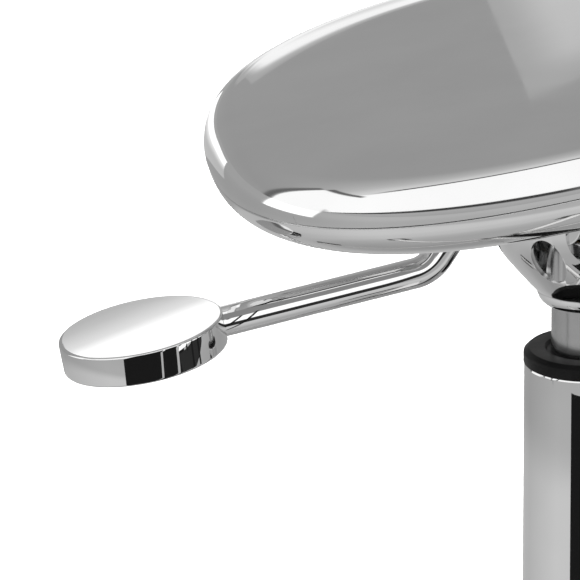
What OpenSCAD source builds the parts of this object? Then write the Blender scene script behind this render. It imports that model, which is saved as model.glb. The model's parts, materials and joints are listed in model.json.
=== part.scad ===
// Rolling stylist stool: a chromed squircle seat on a tilting bracket, a tulip-shaped seat mount
// on a gas spring, a height lever with a round disc knob, and a five-star base on twin-wheel casters.
// Z is up and the origin lies on the floor under the column. The seat tilts about an axis along Y.
// Seat parts are drawn level about the tilt pivot, and tilted() leans them to their resting place.

/* [Seat] */
// Half the width of the seat along its own X
seat_half = 148; // [140:1:156]
// How much longer the seat is along its own Y than it is wide
seat_stretch = 1.05; // [1:0.01:1.08]
// Exponent of the rounded-square outline, where 2 is a circle
seat_power = 2.45; // [2.2:0.05:3]
// Turn of the seat's own X about the column
seat_turn = 23; // [-20:1:45]
// Height of the seam between the two pans above the tilt pivot
seam_rise = 45; // [43:0.5:48]
// Height of the upper pan over the seam
upper_h = 19; // [14:0.5:20]
// Width of the rolled edge of the upper pan
upper_edge = 14; // [10:1:16]
// Width of the gentle crown between the rolled edge and the flat of the upper pan
crown_w = 28; // [20:1:40]
// Fall of the upper pan across the crown
crown_fall = 1.8; // [1:0.1:2.4]
// Depth of the lower pan below the seam
lower_h = 22; // [16:0.5:23]
// Width of the rounded flank of the lower pan
lower_edge = 44; // [38:1:60]
// Wall of the pressed pans
pan_wall = 2; // [1.5:0.1:2.5]

/* [Tilt] */
// Lean of the seat at rest, its -X edge down
rest_tilt = 12; // [4:1:12]
// Height of the tilt pivot above the floor
pivot_z = 411.4; // [410:0.2:413]

/* [Lever] */
// Direction of the lever about the column
lever_dir = 205.8; // [203:0.2:207]
// Diameter of the lever rod
lever_d = 12.7; // [12:0.1:13]
// Distance from the column to the centre of the knob
knob_reach = 190.4; // [175:0.2:200]
// Diameter of the disc knob
knob_d = 68; // [60:1:72]
// Thickness of the disc knob
knob_h = 13; // [13:0.5:16]
// Roll of the disc knob about the rod, its near edge down
knob_roll = 2.8; // [0:0.2:4]

/* [Column] */
// Outer diameter of the column tube
tube_d = 50; // [50:1:52]
// Height of the top of the column tube above the floor
tube_top = 340; // [330:1:340]
// Diameter of the gas spring's cylinder
cyl_d = 28; // [27:0.5:28]

/* [Base] */
// Distance from the column to each caster's swivel
caster_r = 265; // [250:5:280]
// Diameter of the caster wheels
wheel_d = 50; // [48:1:50]
// Distance of the wheels' axle behind the swivel
trail = 18; // [17:0.5:19]

/* [Hidden] */
$fn = 96;

// Radial play of a running fit
play = 0.05;
// Overlap that keeps cutting tools clear of the faces that they cut
cut = 1;

chrome = [0.80, 0.81, 0.83];
ground_steel = [0.62, 0.63, 0.65];
zinc = [0.70, 0.71, 0.70];
black_plastic = [0.08, 0.08, 0.09];
alloy = [0.75, 0.76, 0.78];
plywood = [0.78, 0.62, 0.42];
rubber_grey = [0.16, 0.16, 0.17];
brass = [0.80, 0.66, 0.35];

// Column and gas spring
tube_wall = 2;
tube_foot = 70;
floor_plate = 4;
bore_r = tube_d / 2 - tube_wall;
cyl_r = cyl_d / 2;
cyl_wall = 2;
rod_r = 5;
rod_foot_r = 4;
collar_h = 6.2;
liner_l = 90;
bearing_z = tube_foot + floor_plate;
washer_h = 2;
ball_r = 2.5;
ball_ring_r = 11;
rod_shoulder = bearing_z + 2 * washer_h + 2 * ball_r;
buffer_h = 30;
cyl_foot = rod_shoulder + buffer_h + 1;
gland_h = 20;
stroke_room = 122;
head_z = cyl_foot + gland_h + stroke_room;
head_h = 16;
cyl_top = pivot_z - 13;
taper_z = pivot_z - 45.6;
taper_r = 13;
valve_guide_h = 26;
valve_r = 4;
valve_top = pivot_z - 4.1;

// Seat bowl, measured from its ring reference below the pivot
bowl_z = pivot_z - 42;
sleeve_r = 15;
cup_r = 29.5;
cup_in_r = 27;
cup_foot = 13.5;
cup_top = 32;
window_w = 14.2;
window_low = 14.4;
window_high = 37;
notch_w = 20;
notch_low = 21;
bay_r = 17.5;
bay_z = 42;

// Tilt pins, ears and lever block
pin_r = 4;
bush_wall = 1.5;
pin_in = 20;
pin_out = 40.5;
ear_in = 22;
ear_out = 30;
ear_r = 9;
plate_bottom = 15;
plate_top = seam_rise - lower_h;
plate_half = 62;
plate_corner = 14;
screw_off = 48;
lever_pin_at = 28;
lever_z = 4;
lever_low = -14;
cheek_in = 7.2;
cheek_wall = 4;

// Lever bends
bend_r = 16;
bend_a = 45;
bend_out = 76;
bend_straight = (lever_z - lever_low - 2 * bend_r * (1 - cos(bend_a))) / sin(bend_a);
bend_in = bend_out - 2 * bend_r * sin(bend_a) - bend_straight * cos(bend_a);
spigot_r = 4;
spigot_l = 14;
set_screw_at = 8 - knob_d / 2;
tongue_h = 4;
nose_r = 4;

// Base and casters
legs = 5;
leg_start = 18;
hub_r = 36;
hub_low = 64;
hub_high = 112;
socket_low = 58;
socket_h = 24;
socket_r = 13;
stem_r = 5.5;
stem_neck_r = 5;
stem_foot = 33;
wheel_r = wheel_d / 2;
wheel_in = 9.2;
wheel_out = 23;
hood_r = wheel_r + 3.4;
hood_in_r = wheel_r + 1.2;
web_half = 4;
neck_r = 8.5;
axle_r = 3;

// ---------- helpers ----------

// Leans the seat's parts about the pivot to their resting place
module tilted() {
    translate([0, 0, pivot_z]) rotate([0, -rest_tilt, 0]) children();
}

// Places parts drawn along +X in the direction of the lever
module along_lever() {
    rotate([0, 0, lever_dir]) children();
}

// Places a caster's parts, drawn with the swivel at X = 0, at the end of leg n
module at_caster(n) {
    rotate([0, 0, leg_start + 360 / legs * (n - 1)]) translate([caster_r, 0, 0]) children();
}

module tube(r_out, r_in, z0, z1) {
    translate([0, 0, z0]) difference() {
        cylinder(r = r_out, h = z1 - z0);
        translate([0, 0, -cut]) cylinder(r = r_in, h = z1 - z0 + 2 * cut);
    }
}

module lying(r, y0, y1) {
    translate([0, y0, 0]) rotate([-90, 0, 0]) cylinder(r = r, h = y1 - y0);
}

// One point of the rounded-square outline, inset from the seat's full outline
function squircle(inset, t) =
    [(seat_half - inset) * sign(cos(t)) * pow(abs(cos(t)), 2 / seat_power),
     (seat_half * seat_stretch - inset) * sign(sin(t)) * pow(abs(sin(t)), 2 / seat_power)];

sides = 72;
steps = 6;
function ring(inset, z) = [for (i = [0:sides - 1])
    let (p = squircle(inset, 360 / sides * (i + 0.5))) [p[0], p[1], z]];

// Quarter-ellipse edge, as [inset, height] pairs from the seam inward
function edge_arc(edge, h) = [for (k = [0:steps]) let (t = 90 * k / steps) [edge * (1 - cos(t)), h * sin(t)]];

// Edge of the upper pan: a rolled quarter-ellipse, then a crown that flattens out
function crowned(edge, h) = concat(
    edge_arc(edge, h - crown_fall),
    [for (k = [1:3]) [edge + crown_w * k / 3, h - crown_fall * pow(1 - k / 3, 2)]]);

// A pan: outer skin along the profile from the seam to the flat face, then back down the inner skin
module pan(outer, inner, up) {
    last = len(outer) - 1;
    points = concat(
        [for (p = outer) each ring(p[0], seam_rise + up * p[1])],
        [for (k = [0:last]) let (p = inner[last - k]) each ring(p[0] + pan_wall, seam_rise + up * p[1])]);
    rows = 2 * last + 2;
    outer_face = [for (i = [0:sides - 1]) last * sides + i];
    inner_face = [for (i = [0:sides - 1]) (last + 1) * sides + i];
    bands = [for (k = [0:rows - 1]) if (k != last) for (i = [0:sides - 1])
        let (j = (i + 1) % sides, m = (k + 1) % rows)
        [k * sides + i, k * sides + j, m * sides + j, m * sides + i]];
    faces = concat(bands, [outer_face, [for (i = [sides - 1:-1:0]) inner_face[i]]]);
    rotate([0, 0, seat_turn])
        polyhedron(points, up > 0 ? [for (f = faces) [for (i = [len(f) - 1:-1:0]) f[i]]] : faces,
                   convexity = 4);
}

// ---------- base and column ----------

module leg() {
    hull() {
        translate([20, 0, hub_low + 4]) cylinder(r = 17, h = 4, $fn = 32);
        translate([24, 0, hub_high - 18]) cylinder(r = 13, h = 4, $fn = 32);
        translate([caster_r, 0, socket_low + 3]) cylinder(r = socket_r - 1, h = 3, $fn = 32);
        translate([caster_r, 0, socket_low + socket_h - 7]) cylinder(r = socket_r - 3, h = 3, $fn = 32);
    }
}

module star_base() {
    color(alloy) difference() {
        union() {
            translate([0, 0, hub_low]) cylinder(r1 = hub_r, r2 = hub_r - 5, h = hub_high - hub_low);
            for (n = [1:legs]) rotate([0, 0, leg_start + 360 / legs * (n - 1)]) {
                leg();
                translate([caster_r, 0, socket_low]) cylinder(r = socket_r, h = socket_h);
            }
        }
        translate([0, 0, tube_foot - 2]) cylinder(r = tube_d / 2, h = hub_high);
        translate([0, 0, hub_low - cut]) cylinder(r = tube_d / 2 - 6, h = hub_high);
        for (n = [1:legs]) at_caster(n)
            translate([0, 0, socket_low - cut]) cylinder(r = stem_r, h = socket_h - 2 + cut);
    }
}

module column_tube() {
    color(chrome) difference() {
        translate([0, 0, tube_foot - 2]) cylinder(r = tube_d / 2, h = tube_top - tube_foot + 2);
        translate([0, 0, bearing_z]) cylinder(r = bore_r, h = tube_top);
        translate([0, 0, tube_foot - 2 - cut]) cylinder(r = rod_foot_r + 2, h = tube_top);
    }
}

// Black collar that caps the tube and carries on down as the cylinder's guide
module guide_bush() {
    color(black_plastic) rotate_extrude() polygon([
        [cyl_r + play, tube_top - liner_l],
        [bore_r, tube_top - liner_l],
        [bore_r, tube_top],
        [tube_d / 2 + 0.3, tube_top],
        [tube_d / 2 + 0.3, tube_top + collar_h - 2],
        [tube_d / 2 - 1.6, tube_top + collar_h],
        [cyl_r + 1.2, tube_top + collar_h],
        [cyl_r + play, tube_top + collar_h - 1]
    ]);
}

// ---------- gas spring ----------

module piston_rod() {
    color(ground_steel) union() {
        translate([0, 0, tube_foot - 10]) cylinder(r = rod_foot_r, h = 40);
        translate([0, 0, rod_shoulder]) cylinder(r = rod_r, h = head_z + head_h / 2 - rod_shoulder);
    }
}

module piston_head() {
    color(brass) difference() {
        translate([0, 0, head_z]) cylinder(r = cyl_r - cyl_wall - play, h = head_h);
        translate([0, 0, head_z - cut]) cylinder(r = rod_r, h = head_h / 2 + cut);
    }
}

module thrust_washers() {
    color(ground_steel) {
        tube(15, rod_foot_r + 0.05, bearing_z, bearing_z + washer_h);
        tube(15, rod_foot_r + 0.05, rod_shoulder - washer_h, rod_shoulder);
    }
}

module bearing_balls() {
    balls = 10;
    color(ground_steel) for (i = [1:balls]) rotate([0, 0, 360 / balls * i])
        translate([ball_ring_r, 0, bearing_z + washer_h + ball_r]) sphere(r = ball_r, $fn = 24);
}

module rubber_buffer() {
    color(rubber_grey) tube(13, rod_r, rod_shoulder, rod_shoulder + buffer_h);
}

module retaining_clip() {
    color(zinc) tube(9, rod_foot_r, tube_foot - 6, tube_foot - 2.4);
}

module gas_cylinder() {
    color(ground_steel) difference() {
        union() {
            translate([0, 0, cyl_foot]) cylinder(r = cyl_r, h = taper_z - cyl_foot);
            translate([0, 0, taper_z]) cylinder(r1 = cyl_r, r2 = taper_r, h = cyl_top - taper_z);
        }
        translate([0, 0, cyl_foot - cut])
            cylinder(r = cyl_r - cyl_wall, h = cyl_top - valve_guide_h - cyl_foot + cut);
        translate([0, 0, cyl_top - valve_guide_h - cut]) cylinder(r = 9, h = valve_guide_h + 2 * cut);
    }
}

module rod_gland() {
    color(black_plastic) tube(cyl_r - cyl_wall, rod_r + play, cyl_foot, cyl_foot + gland_h);
}

module valve_guide() {
    color(brass) tube(9, valve_r + play, cyl_top - valve_guide_h, cyl_top - 1);
}

module valve_pin() {
    color(brass) translate([0, 0, cyl_top - valve_guide_h + 4])
        cylinder(r = valve_r, h = valve_top - (cyl_top - valve_guide_h + 4));
}

// ---------- seat mount ----------

// Outer outline of the bowl as [radius, height above the ring reference], with a round bead at its foot
bowl_out = concat(
    [for (t = [0:15:90]) [cyl_r + 0.3 + 5.8 * sin(t), -3.6 + 6.4 * (1 - cos(t))]],
    [[24.8, 7.6], [29.4, 13], [33.6, 18.2], [37.4, 23.6], [40.6, 29.2], [43.2, 35.2], [45, 41],
     [45.8, 46]]);
bowl_in = [[43.6, 46], [42.8, 41.2], [40.9, 35.6], [38.3, 29.8], [35, 24.4], [31.2, 19.2], [cup_in_r, 14],
           [20, 11.5], [sleeve_r, 11]];

module tapered_bore() {
    translate([0, 0, taper_z]) cylinder(r1 = cyl_r, r2 = taper_r, h = cyl_top - taper_z);
    translate([0, 0, bowl_z - 10]) cylinder(r = cyl_r, h = taper_z - bowl_z + 10.01);
    translate([0, 0, cyl_top - cut]) cylinder(r = taper_r - 0.5, h = 10);
}

// Slot with round ends, cut outward through the wall
module slot(w, z0, z1) {
    translate([18, 0, bowl_z + z0 + w / 2]) rotate([0, 90, 0]) cylinder(r = w / 2, h = 40);
    translate([18, 0, bowl_z + z1 - w / 2]) rotate([0, 90, 0]) cylinder(r = w / 2, h = 40);
    translate([18, -w / 2, bowl_z + z0 + w / 2]) cube([40, w, z1 - z0 - w]);
}

// Round-bottomed bay, open at the rim
module bay() {
    translate([18, 0, bowl_z + bay_z]) rotate([0, 90, 0]) cylinder(r = bay_r, h = 40);
}

// Spun bowl with oval windows, three bays and the lever's notch, and a cup inside round the taper
module seat_bowl() {
    boss_r = 7.5;
    color(chrome) difference() {
        union() {
            difference() {
                translate([0, 0, bowl_z]) rotate_extrude() polygon(concat(
                    [[cyl_r - 2, -3.6]], bowl_out, bowl_in,
                    [[sleeve_r, 29], [cyl_r - 2, 29]]));
                for (a = [54.2, 135, 225, -54.2]) rotate([0, 0, lever_dir + a])
                    slot(window_w, window_low, window_high);
                for (a = [90, 180, 270]) rotate([0, 0, lever_dir + a]) bay();
                rotate([0, 0, lever_dir]) slot(notch_w, notch_low, 80);
            }
            tube(cup_r, cup_in_r, bowl_z + cup_foot, bowl_z + cup_top);
            for (s = [-1, 1]) translate([0, 0, pivot_z]) scale([1, s, 1]) lying(boss_r, 34, 41.5);
        }
        tapered_bore();
        for (s = [-1, 1]) translate([0, 0, pivot_z]) scale([1, s, 1]) lying(pin_r, 30, pin_out);
    }
}

module tilt_pin(s) {
    color(ground_steel) translate([0, 0, pivot_z]) scale([1, s, 1]) lying(pin_r, pin_in, pin_out);
}

// ---------- seat ----------

module rounded_plate(half, corner, z0, z1) {
    translate([0, 0, z0]) linear_extrude(z1 - z0) union() {
        square([2 * half, 2 * (half - corner)], center = true);
        square([2 * (half - corner), 2 * half], center = true);
        for (x = [-1, 1]) for (y = [-1, 1])
            translate([x * (half - corner), y * (half - corner)]) circle(r = corner);
    }
}

module screw_places() {
    for (x = [-1, 1]) for (y = [-1, 1]) translate([x * screw_off, y * screw_off, 0]) children();
}

module tilt_bracket() {
    color(zinc) tilted() difference() {
        union() {
            rounded_plate(plate_half, plate_corner, plate_bottom, plate_top);
            for (s = [-1, 1]) scale([1, s, 1]) {
                lying(ear_r, ear_in, ear_out);
                translate([-ear_r, ear_in, 0]) cube([2 * ear_r, ear_out - ear_in, plate_bottom + cut]);
            }
            along_lever() translate([lever_pin_at, 0, lever_z]) for (s = [-1, 1]) scale([1, s, 1]) {
                lying(6.5, cheek_in, cheek_in + cheek_wall);
                translate([-6.5, cheek_in, 0]) cube([13, cheek_wall, plate_bottom - lever_z + cut]);
            }
        }
        lying(pin_r + bush_wall, -60, 60);
        along_lever() translate([lever_pin_at, 0, lever_z]) lying(3, -30, 30);
        screw_places() translate([0, 0, plate_bottom - cut]) cylinder(r = 3, h = 30);
    }
}

module tilt_bush(s) {
    color(black_plastic) tilted() scale([1, s, 1]) difference() {
        lying(pin_r + bush_wall, ear_in, ear_out);
        lying(pin_r + play, ear_in - cut, ear_out + cut);
    }
}

module lever_pivot_pin() {
    reach = cheek_in + cheek_wall;
    color(ground_steel) tilted() along_lever() translate([lever_pin_at, 0, lever_z])
        lying(3, -reach, reach);
}

module bracket_screws() {
    color(zinc) tilted() screw_places() {
        translate([0, 0, plate_bottom - 4]) cylinder(r = 5.5, h = 4);
        translate([0, 0, plate_bottom - cut]) cylinder(r = 3, h = plate_top + 10 - plate_bottom);
    }
}

module seat_core() {
    color(plywood) tilted() difference() {
        rounded_plate(88, 40, plate_top + pan_wall, plate_top + pan_wall + 12);
        screw_places() translate([0, 0, plate_top]) cylinder(r = 3, h = 10 + 0.2);
    }
}

module seat_shell_bottom() {
    color(chrome) tilted() difference() {
        pan(edge_arc(lower_edge, lower_h), edge_arc(lower_edge - pan_wall / 2, lower_h - pan_wall), -1);
        screw_places() translate([0, 0, plate_top - cut]) cylinder(r = 3, h = pan_wall + 2 * cut);
    }
}

module seat_shell_top() {
    color(chrome) tilted()
        pan(crowned(upper_edge, upper_h), crowned(upper_edge - pan_wall / 2, upper_h - pan_wall), 1);
}

// ---------- lever ----------

// Points [x, z, heading] along the rod's centre line, from its inner end out to the knob
rod_line = concat(
    [[12, lever_z, 0]],
    [for (t = [0:9:bend_a]) [bend_in + bend_r * sin(t), lever_z - bend_r * (1 - cos(t)), -t]],
    [for (t = [bend_a:-9:0]) [bend_out - bend_r * sin(t), lever_low + bend_r * (1 - cos(t)), -t]],
    [[knob_reach - knob_d / 2 + 1, lever_low, 0]]);
rod_sides = 32;

// Round rod swept along rod_line, in the lever's own XZ plane
module rod_sweep() {
    rings = len(rod_line);
    points = [for (p = rod_line) for (i = [0:rod_sides - 1])
        let (a = 360 / rod_sides * i, u = lever_d / 2 * cos(a))
        [p[0] - u * sin(p[2]), lever_d / 2 * sin(a), p[1] + u * cos(p[2])]];
    skin = [for (k = [0:rings - 2]) for (i = [0:rod_sides - 1])
        let (j = (i + 1) % rod_sides, b = k * rod_sides, c = b + rod_sides)
        [b + i, b + j, c + j, c + i]];
    polyhedron(points, concat(skin,
        [[for (i = [rod_sides - 1:-1:0]) i],
         [for (i = [0:rod_sides - 1]) (rings - 1) * rod_sides + i]]), convexity = 6);
}

module lever_rod() {
    knob_edge = knob_reach - knob_d / 2;
    color(chrome) tilted() along_lever() difference() {
        union() {
            rod_sweep();
            translate([knob_edge - 6, 0, lever_low]) rotate([0, 90, 0])
                cylinder(r = spigot_r, h = spigot_l + 6);
        }
        translate([lever_pin_at, 0, lever_z]) lying(3 + play, -10, 10);
        translate([0, -10, lever_z - tongue_h / 2]) cube([20, 20, tongue_h]);
    }
}

// Flat tongue in the rod's end, with a round nose on the tilt axis above the valve pin
module lever_tongue() {
    color(zinc) tilted() union() {
        along_lever() translate([-3, -5, lever_z - tongue_h / 2]) cube([23, 10, tongue_h]);
        lying(nose_r, -3.5, 3.5);
    }
}

// Places the knob's parts at the end of the rod
module at_knob() {
    tilted() along_lever() translate([knob_reach, 0, lever_low]) rotate([-knob_roll, 0, 0]) children();
}

module lever_knob() {
    knob_edge = knob_d / 2;
    round_r = 1.2;
    color(chrome) at_knob() difference() {
        rotate_extrude() polygon(concat(
            [[0, -knob_h / 2]],
            [for (t = [-90:22.5:0]) [knob_edge - round_r * (1 - cos(t)),
                                     -knob_h / 2 + round_r * (1 + sin(t))]],
            [for (t = [0:22.5:90]) [knob_edge - round_r * (1 - cos(t)),
                                    knob_h / 2 - round_r * (1 - sin(t))]],
            [[0, knob_h / 2]]));
        translate([-knob_edge - cut, 0, 0]) rotate([0, 90, 0])
            cylinder(r = spigot_r, h = spigot_l + cut);
        translate([-knob_edge - cut, 0, 0]) rotate([0, 90, 0])
            cylinder(d = lever_d, h = cut + 1);
        translate([set_screw_at, 0, -knob_h]) cylinder(r = 2, h = knob_h);
    }
}

module knob_set_screw() {
    color(zinc) at_knob() translate([set_screw_at, 0, -knob_h / 2 + 0.3])
        cylinder(r = 2, h = knob_h / 2 - spigot_r - 0.3);
}

// ---------- casters ----------

module caster_stem(n) {
    color(zinc) at_caster(n) {
        translate([0, 0, socket_low - 1]) cylinder(r = stem_r, h = socket_h - 3);
        translate([0, 0, socket_low - 1.6]) cylinder(r = 8, h = 1.6);
        translate([0, 0, stem_foot]) cylinder(r = stem_neck_r, h = socket_low - stem_foot);
    }
}

module caster_hood(n) {
    neck_top = socket_low - 2;
    color(black_plastic) at_caster(n) difference() {
        union() {
            translate([trail, 0, wheel_r]) intersection() {
                difference() {
                    lying(hood_r, -wheel_out - 0.5, wheel_out + 0.5);
                    lying(hood_in_r, web_half, 40);
                    lying(hood_in_r, -40, -web_half);
                }
                translate([-40, -40, -8]) cube([80, 80, 60]);
            }
            translate([0, 0, stem_foot - 3]) cylinder(r = neck_r, h = neck_top - stem_foot + 3);
        }
        translate([trail, 0, wheel_r]) {
            lying(axle_r, -30, 30);
            for (s = [-1, 1]) scale([1, s, 1])
                translate([-40, web_half, -20]) cube([80, 40, 23]);
        }
        translate([0, 0, stem_foot - 0.5]) cylinder(r = stem_neck_r + play, h = 40);
    }
}

module caster_axle(n) {
    color(zinc) at_caster(n) translate([trail, 0, wheel_r]) lying(axle_r, -wheel_out + 2, wheel_out - 2);
}

// Wheel with a rounded tread, a dished outer face and a hub that reaches to the hood's web
module wheel(n, s) {
    hub_wheel_r = 7;
    color(black_plastic) at_caster(n) translate([trail, 0, wheel_r]) scale([1, s, 1])
        rotate([-90, 0, 0]) rotate_extrude() polygon([
            [axle_r + play, web_half + 0.3],
            [hub_wheel_r, web_half + 0.3],
            [hub_wheel_r, wheel_in],
            [wheel_r - 2, wheel_in],
            [wheel_r, wheel_in + 2],
            [wheel_r, wheel_out - 4],
            [wheel_r - 0.8, wheel_out - 1.6],
            [wheel_r - 2.6, wheel_out - 0.4],
            [wheel_r - 5, wheel_out],
            [wheel_r - 7, wheel_out - 1.5],
            [axle_r + play, wheel_out - 1.5]
        ]);
}

module wheel_left(n) {
    wheel(n, 1);
}

module wheel_right(n) {
    wheel(n, -1);
}

// ---------- nodes ----------

star_base();
column_tube();
guide_bush();
piston_rod();
piston_head();
thrust_washers();
bearing_balls();
rubber_buffer();
retaining_clip();
gas_cylinder();
rod_gland();
valve_guide();
seat_bowl();
tilt_pin(1);  // tilt_pin_left
tilt_pin(-1);  // tilt_pin_right
valve_pin();
tilt_bracket();
tilt_bush(1);  // tilt_bush_left
tilt_bush(-1);  // tilt_bush_right
lever_pivot_pin();
bracket_screws();
seat_core();
seat_shell_bottom();
seat_shell_top();
lever_rod();
lever_tongue();
lever_knob();
knob_set_screw();
for (n = [1:legs]) {
    caster_stem(n);
    caster_hood(n);
    caster_axle(n);
    wheel_left(n);
    wheel_right(n);
}
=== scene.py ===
"""Rolling stylist stool: the visual model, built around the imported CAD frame. Lengths are in metres."""

import json
import math

import bmesh
import bpy
from mathutils import Matrix, Vector


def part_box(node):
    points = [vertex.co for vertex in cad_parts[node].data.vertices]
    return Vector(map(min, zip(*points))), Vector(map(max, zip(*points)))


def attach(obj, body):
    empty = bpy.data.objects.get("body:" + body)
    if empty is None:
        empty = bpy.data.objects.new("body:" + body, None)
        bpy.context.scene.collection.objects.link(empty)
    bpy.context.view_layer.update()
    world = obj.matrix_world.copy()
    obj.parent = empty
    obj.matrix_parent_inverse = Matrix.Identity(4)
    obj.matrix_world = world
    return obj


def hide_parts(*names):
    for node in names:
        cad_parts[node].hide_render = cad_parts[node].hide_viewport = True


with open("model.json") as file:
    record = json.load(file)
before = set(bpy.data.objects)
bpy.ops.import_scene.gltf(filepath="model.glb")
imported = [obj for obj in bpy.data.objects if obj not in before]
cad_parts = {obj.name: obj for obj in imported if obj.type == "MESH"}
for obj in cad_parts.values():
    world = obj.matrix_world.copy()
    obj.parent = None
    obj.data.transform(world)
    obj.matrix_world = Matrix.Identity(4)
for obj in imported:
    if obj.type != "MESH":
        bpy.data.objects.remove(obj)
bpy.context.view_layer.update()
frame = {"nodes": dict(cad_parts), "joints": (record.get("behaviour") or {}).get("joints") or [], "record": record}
scene = bpy.context.scene
MM = 0.001

# ---------------------------------------------------------------- places taken from the frame

joints = {j["name"]: j for j in frame["joints"]}
LEGS = 5
PIVOT = Vector(joints["seat_tilt"]["pos_m"])
TILT = math.radians(joints["seat_tilt"]["range_deg"][1] / 2)
LEAN = Matrix.Translation(PIVOT) @ Matrix.Rotation(-TILT, 4, "Y")
RING_Z = PIVOT.z - 42 * MM
KNOB_AT = sum(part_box("lever_knob"), Vector()) / 2
LEVER_TURN = math.atan2(*(LEAN.inverted() @ KNOB_AT).yx)
LEVER = LEAN @ Matrix.Rotation(LEVER_TURN, 4, "Z")
KNOB_REACH = (LEVER.inverted() @ KNOB_AT).x
LEVER_LOW = (LEVER.inverted() @ KNOB_AT).z
COLLAR_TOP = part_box("guide_bush")[1].z
TUBE_LOW, TUBE_HIGH = (p.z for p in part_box("column_tube"))
TUBE_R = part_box("column_tube")[1].x
COLLAR_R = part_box("guide_bush")[1].x
CYL_LOW, CYL_TOP = (p.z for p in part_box("gas_cylinder"))
CYL_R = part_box("gas_cylinder")[1].x
SWIVELS = [Vector(joints["caster_swivel_%d" % n]["pos_m"]) for n in range(1, LEGS + 1)]
AXLES = [Vector(joints["roller_left_spin_%d" % n]["pos_m"]) for n in range(1, LEGS + 1)]
SWIVEL_R = SWIVELS[0].xy.length
TRAIL = AXLES[0].xy.length - SWIVEL_R
WHEEL_R = AXLES[0].z
SOCKET_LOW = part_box("star_base")[0].z
HUB_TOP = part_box("star_base")[1].z

# ---------------------------------------------------------------- mesh helpers


def make_object(name, bm, material, smooth_angle=35.0):
    """Turns a bmesh into a named object with smooth faces and sharp edges where it turns steeply."""
    bmesh.ops.recalc_face_normals(bm, faces=bm.faces)
    mesh = bpy.data.meshes.new(name)
    bm.to_mesh(mesh)
    bm.free()
    mesh.polygons.foreach_set("use_smooth", [True] * len(mesh.polygons))
    mesh.set_sharp_from_angle(angle=math.radians(smooth_angle))
    mesh.materials.append(material)
    obj = bpy.data.objects.new(name, mesh)
    scene.collection.objects.link(obj)
    return obj


def rounded(corners, steps=6):
    """Fillets a chain of (r, z, radius) corners and returns its (r, z) points."""
    out = []
    for i, (r, z, radius) in enumerate(corners):
        here = Vector((r, z))
        if radius == 0 or i in (0, len(corners) - 1):
            out.append(here)
            continue
        before = (Vector(corners[i - 1][:2]) - here).normalized()
        after = (Vector(corners[i + 1][:2]) - here).normalized()
        half = before.angle(after) / 2
        reach = radius / math.tan(half)
        middle = here + (before + after).normalized() * (radius / math.sin(half))
        a, b = here + before * reach - middle, here + after * reach - middle
        turn = a.angle_signed(b)
        for k in range(steps + 1):
            out.append(middle + Matrix.Rotation(-turn * k / steps, 2) @ a)
    return [(p.x, p.y) for p in out]


def lathe(bm, profile, sides=128, place=Matrix.Identity(4), closed=True):
    """Spins a chain of (r, z) points about Z. A closed chain becomes a ring, and r = 0 becomes a pole."""
    rings = []
    for r, z in profile:
        if r < 1e-6:
            rings.append([bm.verts.new(place @ Vector((0, 0, z)))])
            continue
        rings.append([
            bm.verts.new(place @ Vector((r * math.cos(a), r * math.sin(a), z)))
            for a in (2 * math.pi * i / sides for i in range(sides))])
    pairs = list(zip(rings, rings[1:]))
    if closed and len(rings[0]) > 1 and len(rings[-1]) > 1:
        pairs.append((rings[-1], rings[0]))
    for low, high in pairs:
        for i in range(sides):
            j = (i + 1) % sides
            if len(low) == 1:
                bm.faces.new((low[0], high[i], high[j]))
            elif len(high) == 1:
                bm.faces.new((low[i], low[j], high[0]))
            else:
                bm.faces.new((low[i], low[j], high[j], high[i]))


def lathed(name, corners, material, sides):
    """A turned ring through filleted (r, z, radius) corners, as an object."""
    bm = bmesh.new()
    lathe(bm, rounded(corners), sides)
    return make_object(name, bm, material)


def loft(bm, rings, capped=True):
    """Joins rings of the same length with quads, and closes the first and last."""
    for low, high in zip(rings, rings[1:]):
        for k in range(len(low)):
            j = (k + 1) % len(low)
            bm.faces.new((low[k], low[j], high[j], high[k]))
    if capped:
        bm.faces.new(rings[0])
        bm.faces.new(list(reversed(rings[-1])))


def sweep(bm, centres, radius, side, sides=48):
    """Round rod through centre points that lie in a plane with normal side."""
    rings = []
    for i, c in enumerate(centres):
        ahead = (centres[min(i + 1, len(centres) - 1)] - centres[max(i - 1, 0)]).normalized()
        up = ahead.cross(side).normalized()
        rings.append([
            bm.verts.new(c + radius * (math.cos(a) * up + math.sin(a) * side))
            for a in (2 * math.pi * k / sides for k in range(sides))])
    loft(bm, rings)


def placed(piece, body, slot, *nodes):
    """Says which body a piece rides on and the CAD nodes that it stands for. The slot argument is not used."""
    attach(piece, body)
    if nodes:
        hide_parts(*nodes)
    return piece


# ---------------------------------------------------------------- materials


NOISE_MIDDLE = (0.3, 0.7)


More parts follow.
